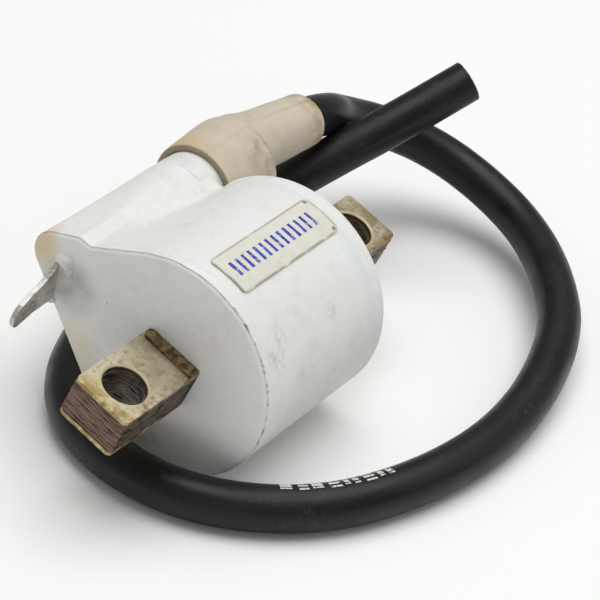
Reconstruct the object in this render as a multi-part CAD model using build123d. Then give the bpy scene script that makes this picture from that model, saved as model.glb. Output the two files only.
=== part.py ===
# Ignition coil of a small engine: a round potted coil on a straight laminated core, with a boss on one side
# that holds the earthed primary's blade terminal in front and the high-tension lead's tower behind.
#
# Frame: origin at the centre of the front fixing hole, on the core's long axis. +X runs along the core to
# the lead's end, +Z is up from the bench and +Y is to the boss. The case lies on its round belly, rolled
# about X until the boss stands a little high, so the coil is built in its own frame (Z along the fixing
# holes) and every piece is rolled into place when it is written.
from build123d import *
import math
import os

# ---- driving dimensions, millimetres -------------------------------------------------------------------
ROLL = 20.0                 # how far the case has rolled, boss side up, degrees

HOLE_SPACING = 57.5         # between the two fixing holes
HOLE_RADIUS = 3.3           # clears an M6 bolt
HOLE_CHAMFER = 0.4
CORE_WIDTH = 9.8            # along Y
CORE_FRONT = -5.5           # core's ends, along X
CORE_REAR = 63.3
SHEET_COUNT = 12
SHEET = 0.5                 # thickness of one lamination
PLATE = 0.65                # thickness of the cover plates above and below the stack
SHEET_STEP = 0.06           # how far every other sheet stands back from its neighbours
PLATE_CORNER = 0.9

CASE_RADIUS = 17.4
CASE_FRONT = 11.4
CASE_REAR = 40.8
COVER = 2.0                 # front cover's thickness
WALL = 1.8
REAR_WALL = 2.0
REAR_ROUND = 1.6            # rounded edge round the boss's rear face
DRUM_REAR = 42.9            # the round drum of the case stands out behind the boss
DRUM_ROUND = 1.4            # rounded edge round the drum's rear face
BOOT_POCKET_RADIUS = 7.9    # the drum is cut back to this round the tower, for the boot's mouth
FRONT_BEVEL = 0.5
PAD_HEIGHT = 0.3            # raised marking panel on top
PAD_X = (15.2, 39.0)
PAD_WIDTH = 7.0
PAD_CORNER = 0.8

NOSE = (22.76, 1.05)        # centre of the boss's rounded nose, in Y and Z
NOSE_RADIUS = 3.9
FLAT_ANGLE = -52.8          # direction that the boss's lower flat faces, degrees from +Y
TOP_ANGLE = 55.1            # direction that the boss's top faces
TOP_END = (20.4, 7.4)       # where the boss's top rolls over towards the case
VALLEY = (18.95, 7.0)       # the crease between boss and case

TOWER = (20.0, 1.95)        # axis of the lead's tower, in Y and Z
TOWER_RADIUS = 6.2
TOWER_LENGTH = 4.2
TOWER_TUBE_RADIUS = 5.2     # the tower's tube inside the boss
TOWER_TUBE_FRONT = 20.5
BORE_RADIUS = 3.65
BORE_FLOOR = 22.0
LEAD_RADIUS = 3.5
CONDUCTOR_RADIUS = 1.0

STACK_FRONT = 14.4          # windings and bobbin, between the resin gaps at both ends
STACK_REAR = 38.0
SLEEVE_WALL = 0.6
PRIMARY_BUILD = 1.5         # thickness of the primary's layers
PRIMARY_CORNER = 2.2        # rounding of its long edges
PAPER = 0.4                 # insulation between primary and secondary
CARD = 0.8
BOBBIN_BORE = 8.7
BOBBIN_TUBE = 0.8
FLANGE_RADIUS = 14.1
FLANGE = 0.8
SLOTS = 6
WRAP = 0.4

BLADE_WIDTH = 6.3           # the flat blade terminal
BLADE_THICKNESS = 0.8
BLADE_ROOT = (21.1, -2.2)   # its centre on the cover, in Y and Z
BLADE_EDGE = [              # its outline from its lower root round the tip to its upper root, as X and height
    (6.7, -3.5),
    (4.4, -4.1),
    (3.3, -4.4),
    (2.6, -4.1),
    (2.4, -3.3),
    (2.9, -2.0),
    (3.9, -1.0),
    (5.8, -0.1),
    (7.9, 0.8),
    (9.9, 1.9),
]
BLADE_TURN = -14.0          # turn of the blade's plane about X, degrees
TAB_START = 12.6            # inside the cover the blade narrows to a solder tab
TAB_END = 15.6

STRIP_FRONT = 9.25          # copper earth strip on the core's top plate
STRIP_WIDTH = 9.4
STRIP_THICKNESS = 0.4
TONGUE_WIDTH = 5.0
STRIP_ROUND = 0.45          # rounding of its end corners, as a share of its length
TONGUE_END = 14.2

WIRE_RADIUS = 0.35
WIRE_BEND = 0.5
EARTH_WIRE_SIDE = 1.5       # its distance from the core's middle, along Y
CONTACT_FRONT = 19.0        # brass contact at the bottom of the lead's bore
CONTACT_STEM_RADIUS = 0.9
CONTACT_DISC_RADIUS = 2.8
CONTACT_DISC = 1.0
SPIKE_RADIUS = 0.6
SPIKE_POINT_RADIUS = 0.1
SPIKE = 5.0
LINK_BEND = 1.0
LINK_ANGLE = 10.0           # where the link wire meets the bobbin's flange, degrees from +Y
LINK_GAP = 0.02

BOOT_BELL = [               # rubber boot's bell, from its mouth round the tower to its shoulder: X and radius
    (41.2, 7.35),
    (46.0, 7.75),
    (50.5, 8.1),
    (52.4, 7.9),
    (53.6, 6.6),
    (54.8, 4.0),
]
TAIL_START = (55.0, 19.6, 9.7)      # the tail sits a little high on the bell and droops, in the part's frame
TAIL_END = (71.8, 18.6, 8.6)
TAIL_START_RADIUS = 5.6
TAIL_RADIUS = 4.9
TAIL_END_RADIUS = 4.5
TAIL_OVERLAP = 4.0          # how far the tail's root reaches back into the bell
TAIL_NECK = 5.0             # how far along the tail its quick taper ends
LEAD_STRAIGHT = 0.5         # how far past the tower the lead stays straight

# Route of the free lead in the part's own frame, from a short run on past the boot's end to its bare cut end.
FIRST_RUN = 6.0
BEND_SHARE = 0.45           # how much of its shorter run each bend takes up
LEAD_ROUTE = [
    (86.2, 19.8, 3.2),
    (95.0, 17.0, -0.8),
    (101.4, 9.4, -4.6),
    (103.0, -0.8, -8.4),
    (99.2, -11.8, -10.6),
    (90.2, -21.6, -11.0),
    (79.8, -29.4, -11.6),
    (67.4, -33.8, -12.8),
    (54.8, -35.8, -13.9),
    (42.0, -35.6, -13.9),
    (29.0, -32.8, -13.9),
    (16.8, -27.2, -13.9),
    (7.6, -18.6, -13.9),
    (2.6, -8.0, -13.9),
    (3.0, 3.8, -13.9),
    (8.7, 14.3, -13.9),
    (18.0, 21.4, -13.9),
    (29.6, 25.6, -13.9),
    (42.0, 26.8, -13.9),
    (54.2, 25.0, -11.2),
    (65.4, 21.2, -5.8),
    (76.0, 14.6, 0.9),
    (86.0, 8.6, 7.0),
    (96.0, 2.8, 13.0),
]

# ---- worked out from them ------------------------------------------------------------------------------
CORE_LENGTH = CORE_REAR - CORE_FRONT
CORE_MIDDLE = (CORE_REAR + CORE_FRONT) / 2
STACK_HEIGHT = SHEET_COUNT * SHEET
CORE_HEIGHT = STACK_HEIGHT + 2 * PLATE
CASE_LENGTH = CASE_REAR - CASE_FRONT
COVER_BACK = CASE_FRONT + COVER
CAVITY_END = CASE_REAR - REAR_WALL
STACK_LENGTH = STACK_REAR - STACK_FRONT
WINDING_FRONT = STACK_FRONT + CARD
WINDING_LENGTH = STACK_LENGTH - 2 * CARD
SLEEVE = (CORE_WIDTH + 2 * SLEEVE_WALL, CORE_HEIGHT + 2 * SLEEVE_WALL)
PRIMARY = (SLEEVE[0] + 2 * PRIMARY_BUILD, SLEEVE[1] + 2 * PRIMARY_BUILD)
PAPERED = (PRIMARY[0] + 2 * PAPER, PRIMARY[1] + 2 * PAPER)
DRUM_RADIUS = BOBBIN_BORE + BOBBIN_TUBE
SLOT_PITCH = (STACK_LENGTH - FLANGE) / SLOTS
BOOT_MOUTH = BOOT_BELL[0][0]
BELL_END = BOOT_BELL[-1][0]
TOWER_END = CASE_REAR + TOWER_LENGTH

ACROSS = Plane.YZ           # sections across the core: local x is Y, local y is Z, normal is +X


# ---- small makers --------------------------------------------------------------------------------------
def along(section, start, length):
    """A YZ section, run along +X from start."""
    return extrude(Pos(start, 0, 0) * section, length)


def rod(radius, start, length, centre=(0, 0)):
    """A round bar along X."""
    return along(ACROSS * Pos(*centre) * Circle(radius), start, length)


def ring(outer, inner, start, length, centre=(0, 0)):
    """A round tube along X."""
    section = Circle(outer) - Circle(inner)
    return along(ACROSS * Pos(*centre) * section, start, length)


def block(width, height, start, length, corner=0.0):
    """A bar of rectangular section along X, its long edges rounded by corner."""
    section = RectangleRounded(width, height, corner) if corner else Rectangle(width, height)
    return along(ACROSS * section, start, length)


def bar(x_low, x_high, width, z_low, z_high, corner):
    """A flat plate whose upright end corners are rounded."""
    plan = Pos((x_low + x_high) / 2, 0) * RectangleRounded(x_high - x_low, width, corner)
    return extrude(Pos(0, 0, z_low) * plan, z_high - z_low)


def fixing_holes():
    """The two bolts' clearance through plates and sheets."""
    spots = [(0, 0), (HOLE_SPACING, 0)]
    return [Pos(x, y, 0) * Cylinder(HOLE_RADIUS, 2 * CORE_HEIGHT) for x, y in spots]


def toward(centre, radius, degrees):
    """The point at radius from centre in a direction of the YZ section."""
    turn = math.radians(degrees)
    return (centre[0] + radius * math.cos(turn), centre[1] + radius * math.sin(turn))


def tangent_angle(point, radius):
    """Direction, seen from the axis, of the upper tangent from point to a circle about the axis."""
    reach = math.hypot(*point)
    return math.degrees(math.atan2(point[1], point[0]) + math.acos(radius / reach))


def case_section():
    """The case across the core: a circle with the boss's flat, nose, top and valley on its +Y side."""
    nose_low = toward(NOSE, NOSE_RADIUS, FLAT_ANGLE)
    nose_high = toward(NOSE, NOSE_RADIUS, TOP_ANGLE)
    nose_middle = toward(NOSE, NOSE_RADIUS, (FLAT_ANGLE + TOP_ANGLE) / 2)
    flat = math.radians(FLAT_ANGLE)
    flat_distance = nose_low[0] * math.cos(flat) + nose_low[1] * math.sin(flat)
    flat_start = FLAT_ANGLE - math.degrees(math.acos(flat_distance / CASE_RADIUS))
    flat_point = toward((0, 0), CASE_RADIUS, flat_start)
    lift_angle = tangent_angle(VALLEY, CASE_RADIUS)
    lift_point = toward((0, 0), CASE_RADIUS, lift_angle)
    far_point = toward((0, 0), CASE_RADIUS, (lift_angle + flat_start + 360) / 2)
    outline = [
        Line(flat_point, nose_low),
        ThreePointArc(nose_low, nose_middle, nose_high),
        Line(nose_high, TOP_END),
        Line(TOP_END, VALLEY),
        Line(VALLEY, lift_point),
        ThreePointArc(lift_point, far_point, flat_point),
    ]
    return make_face(outline)


def wire(points, bend):
    """A thin round wire through hand-set points, its corners bent to one radius."""
    path = FilletPolyline(*points, radius=bend)
    profile = Plane(origin=path @ 0, z_dir=path % 0) * Circle(WIRE_RADIUS)
    return sweep(profile, path)


def roll(point, degrees=ROLL):
    """A point of the coil's own frame, in the part's frame."""
    turn = math.radians(degrees)
    x, y, z = point
    return (x, y * math.cos(turn) - z * math.sin(turn), y * math.sin(turn) + z * math.cos(turn))


def unroll(point):
    """A point of the part's frame, in the coil's own frame."""
    return roll(point, -ROLL)


def write(node, shape):
    """Rolls a piece into place and writes it."""
    rolled = Rot(ROLL, 0, 0) * shape
    export_step(rolled, f"parts/{node}.step")
    print(node, len(rolled.solids()), "solid(s)", round(rolled.volume, 1), "mm3")


# ---- laminated core ------------------------------------------------------------------------------------
def plate(z_low):
    """A cover plate of the lamination stack."""
    blank = bar(CORE_FRONT, CORE_REAR, CORE_WIDTH, z_low, z_low + PLATE, PLATE_CORNER)
    return blank - fixing_holes()


def top_plate():
    """The upper plate, its two holes lightly chamfered."""
    upper = plate(STACK_HEIGHT / 2)
    rims = upper.faces().sort_by(Axis.Z)[-1].inner_wires()
    return chamfer([edge for rim in rims for edge in rim.edges()], HOLE_CHAMFER)


def sheets():
    """The stack of core sheets, every other one standing back by a hair."""
    stack = []
    for number in range(SHEET_COUNT):
        step = SHEET_STEP * (1 + number % 2)
        low = -STACK_HEIGHT / 2 + number * SHEET
        blank = Pos(CORE_MIDDLE, 0, low + SHEET / 2) * Box(CORE_LENGTH - 2 * step, CORE_WIDTH - 2 * step, SHEET)
        stack.append(blank - fixing_holes())
    return Compound(stack)


# ---- winding pack --------------------------------------------------------------------------------------
def core_sleeve():
    """Insulating tube on the core under the primary."""
    return block(*SLEEVE, STACK_FRONT, STACK_LENGTH) - block(CORE_WIDTH, CORE_HEIGHT, STACK_FRONT, STACK_LENGTH)


def primary_winding():
    """The primary's layers, as one rounded rectangular tube."""
    outer = block(*PRIMARY, WINDING_FRONT, WINDING_LENGTH, PRIMARY_CORNER)
    return outer - block(*SLEEVE, WINDING_FRONT, WINDING_LENGTH)


def end_cards(holes):
    """The two cards that hold the primary's layers at their ends."""
    cards = []
    for start in (STACK_FRONT, STACK_REAR - CARD):
        card = block(*PAPERED, start, CARD, PRIMARY_CORNER + PAPER) - block(*SLEEVE, start, CARD)
        for hole in holes:
            card = card - hole
        cards.append(card)
    return Compound(cards)


def interwinding_paper():
    """Wrapped insulation between the two windings."""
    outer = block(*PAPERED, WINDING_FRONT, WINDING_LENGTH, PRIMARY_CORNER + PAPER)
    return outer - block(*PRIMARY, WINDING_FRONT, WINDING_LENGTH, PRIMARY_CORNER)


def secondary_bobbin():
    """A tube with a flange at both ends and between each pair of slots."""
    bobbin = ring(DRUM_RADIUS, BOBBIN_BORE, STACK_FRONT, STACK_LENGTH)
    for number in range(SLOTS + 1):
        bobbin = bobbin + ring(FLANGE_RADIUS, BOBBIN_BORE, STACK_FRONT + number * SLOT_PITCH, FLANGE)
    return bobbin


def secondary_winding():
    """Fine wire filling each of the bobbin's slots."""
    width = SLOT_PITCH - FLANGE
    starts = [STACK_FRONT + FLANGE + number * SLOT_PITCH for number in range(SLOTS)]
    return Compound([ring(FLANGE_RADIUS, DRUM_RADIUS, start, width) for start in starts])


def outer_wrap():
    """Tape round the secondary, leaving the front flange's rim bare for the link wire."""
    start = STACK_FRONT + FLANGE
    return ring(FLANGE_RADIUS + WRAP, FLANGE_RADIUS, start, STACK_REAR - start)


# ---- terminals and wires -------------------------------------------------------------------------------
def blade():
    """Flat blade terminal, drawn in the XZ plane: it narrows to a drooping tip in front, and inside the case
    to a solder tab."""
    half = BLADE_WIDTH / 2
    outline = Polyline(
        (TAB_END, 0),
        (TAB_START, 0),
        (TAB_START, -half),
        (CASE_FRONT, -half),
        *BLADE_EDGE,
        (CASE_FRONT, half),
        (TAB_END, half),
        close=True,
    )
    plan = make_face(Plane.XZ * outline)
    flat = extrude(plan, BLADE_THICKNESS / 2, both=True)
    return Pos(0, *BLADE_ROOT) * Rot(BLADE_TURN, 0, 0) * flat


def earth_strip():
    """Copper strip on the core, its far end rounded, with a tongue through the cover."""
    length = CASE_FRONT - STRIP_FRONT
    level = CORE_HEIGHT / 2
    plan = Pos(STRIP_FRONT + length / 2, 0) * Rectangle(length, STRIP_WIDTH)
    lug = extrude(Pos(0, 0, level) * plan, STRIP_THICKNESS)
    lug = fillet(lug.edges().filter_by(Axis.Z).sort_by(Axis.Y)[-2:], length * STRIP_ROUND)
    tongue_plan = Pos((CASE_FRONT + TONGUE_END) / 2, 0) * Rectangle(TONGUE_END - CASE_FRONT, TONGUE_WIDTH)
    return lug + extrude(Pos(0, 0, level) * tongue_plan, STRIP_THICKNESS)


def earth_wire():
    """From the strip's tongue into the primary's start."""
    x = (COVER_BACK + STACK_FRONT) / 2
    top = CORE_HEIGHT / 2 + STRIP_THICKNESS
    middle = (SLEEVE[1] + PRIMARY[1]) / 4
    y = EARTH_WIRE_SIDE
    return wire([(x, y, top), (x, y, middle), (WINDING_FRONT, y, middle)], WIRE_BEND)


def primary_hot_wire():
    """From the blade's inner end into the primary's finish."""
    x = (COVER_BACK + STACK_FRONT) / 2
    side = (SLEEVE[0] + PRIMARY[0]) / 4
    z = BLADE_ROOT[1] + BLADE_WIDTH / 4
    return wire([(x, BLADE_ROOT[0], z), (x, side, z), (WINDING_FRONT, side, z)], WIRE_BEND)


def ht_contact():
    """Brass contact at the bottom of the lead's bore: stem, disc, and the spike in the lead's end."""
    stem = rod(CONTACT_STEM_RADIUS, CONTACT_FRONT, BORE_FLOOR - CONTACT_FRONT, TOWER)
    disc = rod(CONTACT_DISC_RADIUS, BORE_FLOOR, CONTACT_DISC, TOWER)
    middle = BORE_FLOOR + CONTACT_DISC + SPIKE / 2
    spike = Pos(middle, *TOWER) * Rot(0, 90, 0) * Cone(SPIKE_RADIUS, SPIKE_POINT_RADIUS, SPIKE)
    return stem + disc + spike


def ht_link_wire():
    """From the contact's stem to the secondary's end on the bobbin's front flange."""
    x = STACK_FRONT + FLANGE / 2
    rim = toward((0, 0), FLANGE_RADIUS + LINK_GAP, LINK_ANGLE)
    return wire([(CONTACT_FRONT, *TOWER), (x, *TOWER), (x, *rim)], LINK_BEND)


# ---- case ----------------------------------------------------------------------------------------------
def rounded_rear(shell):
    """Rounds the rear face's outer edge."""
    rear = shell.faces().filter_by(Axis.X).sort_by(Axis.X)[-1]
    edges = rear.outer_wire().edges()
    return fillet(edges, REAR_ROUND)


def case_block():
    """The case's outer form, before it is hollowed."""
    return along(ACROSS * case_section(), COVER_BACK, CASE_REAR - COVER_BACK)


def drum():
    """The case's round drum, whose end stands out behind the boss and is cut back round the boot's mouth."""
    body = rod(CASE_RADIUS, COVER_BACK, DRUM_REAR - COVER_BACK)
    rear = body.faces().filter_by(Axis.X).sort_by(Axis.X)[-1]
    body = fillet(rear.edges(), DRUM_ROUND)
    return body - rod(BOOT_POCKET_RADIUS, CASE_REAR, DRUM_REAR - CASE_REAR, TOWER)


def cavity():
    """The potting cavity, a wall's thickness inside the case's outline."""
    inner = offset(case_section(), -WALL, kind=Kind.INTERSECTION)
    return along(ACROSS * inner, COVER_BACK, CAVITY_END - COVER_BACK)


def core_passage():
    """Space that the core takes up, cut from everything it runs through."""
    return block(CORE_WIDTH, CORE_HEIGHT, CORE_FRONT, CORE_LENGTH)


def lead_bore():
    """The blind bore that the lead is pushed into from behind."""
    return rod(BORE_RADIUS, BORE_FLOOR, TOWER_END - BORE_FLOOR, TOWER)


def case_shell(contact):
    """The moulded case: wall, rear wall, the lead's tower and its tube inside the boss."""
    shell = rounded_rear(case_block()) + drum() - cavity()
    shell = shell + rod(TOWER_TUBE_RADIUS, TOWER_TUBE_FRONT, CAVITY_END - TOWER_TUBE_FRONT, TOWER)
    shell = shell + rod(TOWER_RADIUS, CASE_REAR, TOWER_LENGTH, TOWER)
    return shell - lead_bore() - core_passage() - contact


def front_cover(terminal, strip):
    """The flat front cover, its outer edge bevelled."""
    cover = along(ACROSS * case_section(), CASE_FRONT, COVER)
    front = cover.faces().sort_by(Axis.X)[0]
    cover = chamfer(front.outer_wire().edges(), FRONT_BEVEL)
    return cover - core_passage() - terminal - strip


def marking_panel():
    """A thin raised panel that follows the top of the case."""
    drum = ring(CASE_RADIUS + PAD_HEIGHT, CASE_RADIUS, PAD_X[0], PAD_X[1] - PAD_X[0])
    middle = (PAD_X[0] + PAD_X[1]) / 2
    plan = Pos(middle, 0) * RectangleRounded(PAD_X[1] - PAD_X[0], PAD_WIDTH, PAD_CORNER)
    return drum & extrude(plan, CASE_RADIUS * 2)


def potting_resin(pieces):
    """What fills the cavity round every piece inside it."""
    fill = cavity() - core_passage()
    fill = fill - rod(TOWER_TUBE_RADIUS, TOWER_TUBE_FRONT, CAVITY_END - TOWER_TUBE_FRONT, TOWER)
    for piece in pieces:
        for solid in piece.solids():
            fill = fill - solid
    return fill


# ---- boot and lead -------------------------------------------------------------------------------------
def turned(points):
    """A solid turned about the X axis from half its section."""
    return revolve(make_face(Plane.XY * Polyline(*points, close=True)), Axis.X)


def between(start, end, distance):
    """The point at a distance from start on the way to end, or past it."""
    share = distance / math.dist(start, end)
    return tuple(a + share * (b - a) for a, b in zip(start, end))


def lead_in_boot(radius):
    """A round bar along the sealed lead: straight through the tower, then up and along the tail."""
    bottom = (BORE_FLOOR + CONTACT_DISC, *TOWER)
    straight_end = (TOWER_END + LEAD_STRAIGHT, *TOWER)
    points = [bottom, straight_end, unroll(TAIL_START), unroll(TAIL_END)]
    path = FilletPolyline(*points, radius=corner_radii(points))
    return sweep(Plane(origin=path @ 0, z_dir=path % 0) * Circle(radius), path)


def cone(start, end, start_radius, end_radius):
    """A tapered round bar between two points of the coil's own frame."""
    way = Vector(*end) - Vector(*start)
    first = Plane(origin=start, z_dir=way) * Circle(start_radius)
    last = Plane(origin=end, z_dir=way) * Circle(end_radius)
    return loft([first, last])


def lead_boot():
    """Rubber boot: a bell round the tower and a tapering tail on the lead."""
    bell = turned([(BOOT_MOUTH, 0), *BOOT_BELL, (BELL_END, 0)])
    start, end = unroll(TAIL_START), unroll(TAIL_END)
    root = between(start, end, -TAIL_OVERLAP)
    neck = between(start, end, TAIL_NECK)
    tail = cone(root, neck, TAIL_START_RADIUS, TAIL_RADIUS) + cone(neck, end, TAIL_RADIUS, TAIL_END_RADIUS)
    tower = rod(TOWER_RADIUS, BOOT_MOUTH, TOWER_END - BOOT_MOUTH, TOWER)
    return Pos(0, *TOWER) * bell + tail - tower - lead_in_boot(LEAD_RADIUS)


def lead_root():
    """The lead's sealed end inside bore and boot: its insulation and its conductor."""
    core = lead_in_boot(CONDUCTOR_RADIUS)
    return lead_in_boot(LEAD_RADIUS) - core, core - ht_contact()


def corner_radii(points):
    """Each corner's bend: as large as its two runs allow."""
    radii = []
    for before, corner, after in zip(points, points[1:], points[2:]):
        incoming = Vector(*corner) - Vector(*before)
        outgoing = Vector(*after) - Vector(*corner)
        half_turn = math.radians(incoming.get_angle(outgoing)) / 2
        radii.append(BEND_SHARE * min(incoming.length, outgoing.length) / math.tan(half_turn))
    return radii


def free_lead():
    """The free lead's insulation and conductor, swept along straight runs and tangent arcs."""
    leaving = between(TAIL_START, TAIL_END, math.dist(TAIL_START, TAIL_END) + FIRST_RUN)
    points = [TAIL_END, leaving, *LEAD_ROUTE]
    print("lead leaves the boot towards", [round(value, 2) for value in leaving])
    radii = corner_radii(points)
    print("lead bend radii", [round(radius, 1) for radius in radii])
    path = FilletPolyline(*[unroll(point) for point in points], radius=radii)
    start = Plane(origin=path @ 0, z_dir=path % 0)
    insulation = sweep(start * (Circle(LEAD_RADIUS) - Circle(CONDUCTOR_RADIUS)), path)
    conductor = sweep(start * Circle(CONDUCTOR_RADIUS), path)
    expected = math.pi * (LEAD_RADIUS**2 - CONDUCTOR_RADIUS**2) * path.length
    print("free lead length", round(path.length, 1), "volume ratio", round(insulation.volume / expected, 4))
    return insulation, conductor


# ---- assembly ------------------------------------------------------------------------------------------
def main():
    os.makedirs("parts", exist_ok=True)
    terminal = blade()
    strip = earth_strip()
    contact = ht_contact()
    hot = primary_hot_wire() - terminal
    earth = earth_wire()
    link = ht_link_wire() - contact
    root_insulation, root_conductor = lead_root()
    free_insulation, free_conductor = free_lead()

    cards = end_cards([hot, earth])
    bobbin = secondary_bobbin()
    secondary = secondary_winding()
    wrap = outer_wrap()
    papered = block(*PAPERED, STACK_FRONT, STACK_LENGTH, PRIMARY_CORNER + PAPER)
    inside = [papered, bobbin, secondary, wrap, terminal, strip, contact, hot, earth, link]

    write("core_top_plate", top_plate())
    write("core_laminations", sheets())
    write("core_bottom_plate", plate(-STACK_HEIGHT / 2 - PLATE))
    write("core_sleeve", core_sleeve())
    write("primary_winding", primary_winding())
    write("primary_end_cards", cards)
    write("interwinding_insulation", interwinding_paper())
    write("secondary_bobbin", bobbin)
    write("secondary_winding", secondary)
    write("outer_wrap", wrap)
    write("primary_terminal", terminal)
    write("primary_hot_wire", hot)
    write("earth_strip", strip)
    write("earth_wire", earth)
    write("ht_contact", contact)
    write("ht_link_wire", link)
    write("case_shell", case_shell(contact))
    write("front_cover", front_cover(terminal, strip))
    write("marking_panel", marking_panel())
    write("potting_resin", potting_resin(inside))
    write("lead_boot", lead_boot())
    write("lead_root_insulation", root_insulation)
    write("lead_root_conductor", root_conductor)
    write("ht_lead_insulation", free_insulation)
    write("ht_lead_conductor", free_conductor)


main()
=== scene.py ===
"""Builds the visual model of a small engine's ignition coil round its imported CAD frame."""

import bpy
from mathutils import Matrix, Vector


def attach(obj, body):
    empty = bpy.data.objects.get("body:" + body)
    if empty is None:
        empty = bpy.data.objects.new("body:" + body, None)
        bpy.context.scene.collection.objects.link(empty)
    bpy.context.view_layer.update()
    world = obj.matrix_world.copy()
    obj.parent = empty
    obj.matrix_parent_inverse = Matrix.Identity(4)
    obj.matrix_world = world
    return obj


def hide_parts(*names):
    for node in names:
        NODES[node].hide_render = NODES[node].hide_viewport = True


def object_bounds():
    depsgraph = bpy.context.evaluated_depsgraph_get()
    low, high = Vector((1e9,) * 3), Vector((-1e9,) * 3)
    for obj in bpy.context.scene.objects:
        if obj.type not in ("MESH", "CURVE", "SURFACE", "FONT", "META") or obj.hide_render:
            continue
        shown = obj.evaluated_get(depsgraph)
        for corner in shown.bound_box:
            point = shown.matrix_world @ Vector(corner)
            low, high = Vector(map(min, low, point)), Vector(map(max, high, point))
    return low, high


bl_info = {
    "name": "Ignition coil",
    "version": (1, 0, 0),
    "blender": (4, 5, 0),
    "location": "View3D > Sidebar > Coil",
    "description": "Finishes a potted ignition coil: laminated core, case, boot, lead and blade terminal",
    "category": "Object",
}

import math
import random

import bmesh
import bpy
from mathutils import Matrix, Vector, noise

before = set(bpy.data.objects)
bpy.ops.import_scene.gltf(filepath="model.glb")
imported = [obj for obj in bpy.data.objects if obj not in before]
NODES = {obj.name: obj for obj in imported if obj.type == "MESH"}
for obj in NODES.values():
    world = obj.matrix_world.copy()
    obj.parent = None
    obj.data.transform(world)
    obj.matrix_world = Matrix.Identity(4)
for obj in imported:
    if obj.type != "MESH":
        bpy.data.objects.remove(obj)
CAD_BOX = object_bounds()

MM = 0.001
BODY = "root"
ROLL = math.radians(20.0)  # the case lies rolled about X, boss side up
ROLLED = Matrix.Rotation(ROLL, 4, "X")

HOLE_SPACING = 57.5
HOLE_RADIUS = 3.3
HOLE_SPOKES = 48  # points round a hole
CASE_RADIUS = 17.4
CASE_FRONT = 11.4
FRONT_BEVEL = 0.5
COVER_BACK = 13.4
PANEL_RADIUS = 17.7
PANEL_MIDDLE = 27.1  # along X
PANEL_FLAT = 8.4  # half the pad's length, less half its width
TOWER = (20.0, 1.95)  # the lead's tower, in the coil's own Y and Z
BLADE_ROOT = (21.1, -2.2)
BLADE_TURN = math.radians(-14.0)

TAIL_START = (55.0, 19.6, 9.7)
TAIL_END = (71.8, 18.6, 8.6)

# Control points of the lead's line, from the boot's end to the bare cut end, in millimetres.
LEAD_ROUTE = [
    (71.8, 18.6, 8.6),
    (77.78, 18.2, 7.7),
    (86.2, 19.8, 3.2),
    (95.0, 17.0, -0.8),
    (101.4, 9.4, -4.6),
    (103.0, -0.8, -8.4),
    (99.2, -11.8, -10.6),
    (90.2, -21.6, -11.0),
    (79.8, -29.4, -11.6),
    (67.4, -33.8, -12.8),
    (54.8, -35.8, -13.9),
    (42.0, -35.6, -13.9),
    (29.0, -32.8, -13.9),
    (16.8, -27.2, -13.9),
    (8.3, -18.3, -13.9),
    (3.9, -8.0, -13.9),
    (4.3, 3.7, -13.9),
    (8.9, 14.3, -13.9),
    (18.0, 21.4, -13.9),
    (29.6, 25.6, -13.9),
    (42.0, 26.8, -13.9),
    (54.2, 25.0, -10.7),
    (65.4, 21.3, -5.1),
    (76.0, 14.8, 1.4),
    (86.0, 8.6, 7.0),
    (96.0, 2.8, 13.0),
]


def linear(hex_colour):
    """A shader's colour from an sRGB hex value."""
    parts = [int(hex_colour[i : i + 2], 16) / 255 for i in (1, 3, 5)]
    return (*[p / 12.92 if p <= 0.04045 else ((p + 0.055) / 1.055) ** 2.4 for p in parts], 1.0)


def coil_point(x, y, z):
    """A point of the coil's own frame, millimetres, in the shared frame."""
    return ROLLED @ Vector((x, y, z)) * MM


def length_size(label, description, default):
    """A length in metres, for the panel."""
    return bpy.props.FloatProperty(
        name=label, description=description, default=default, precision=5, subtype="DISTANCE", unit="LENGTH"
    )


def main_colour(label, description, hex_colour):
    """A colour for the panel."""
    return bpy.props.FloatVectorProperty(
        name=label, description=description, size=4, subtype="COLOR", default=linear(hex_colour)
    )


class CoilSizes(bpy.types.PropertyGroup):
    """Sizes of the pieces made here."""

    lead_diameter: length_size("Lead diameter", "Across the lead's jacket", 0.007)
    sheet_count: bpy.props.IntProperty(
        name="Core sheets", description="Sheets between the two cover plates", default=18, min=2
    )
    sheet_pitch: length_size("Sheet pitch", "From one sheet to the next", 0.006 / 18)
    sheet_gap: length_size("Sheet gap", "Dark gap between two sheets", 0.00006)
    sheet_stagger: length_size("Sheet stagger", "How far a sheet's ends may stand out of line", 0.00008)
    flash_height: length_size("Flash height", "Ragged ridge round the cover's edge", 0.00013)
    boot_unevenness: length_size("Boot unevenness", "Lumps of the soft rubber", 0.00009)


class CoilColours(bpy.types.PropertyGroup):
    """Main colours of the pieces."""

    case: main_colour("Case", "Moulded nylon", "#E9E9E7")
    boot: main_colour("Boot", "Aged rubber", "#CDC2AE")
    lead: main_colour("Lead", "Satin jacket", "#0D0D0D")
    plating: main_colour("Core plates", "Yellowed zinc", "#B8AE92")
    ink: main_colour("Ink", "Worn marks on the panel", "#3438A6")
    floor: main_colour("Floor", "Pale studio floor", "#FDFDFC")


# ---- materials -----------------------------------------------------------------------------------------
def add(tree, kind, inputs=None, **settings):
    """Adds a node with its settings, and a constant or a link on each named input."""
    made = tree.nodes.new(kind)
    for name, value in settings.items():
        setattr(made, name, value)
    for name, value in (inputs or {}).items():
        if isinstance(value, bpy.types.NodeSocket):
            tree.links.new(value, made.inputs[name])
        else:
            made.inputs[name].default_value = value
    return made


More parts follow.
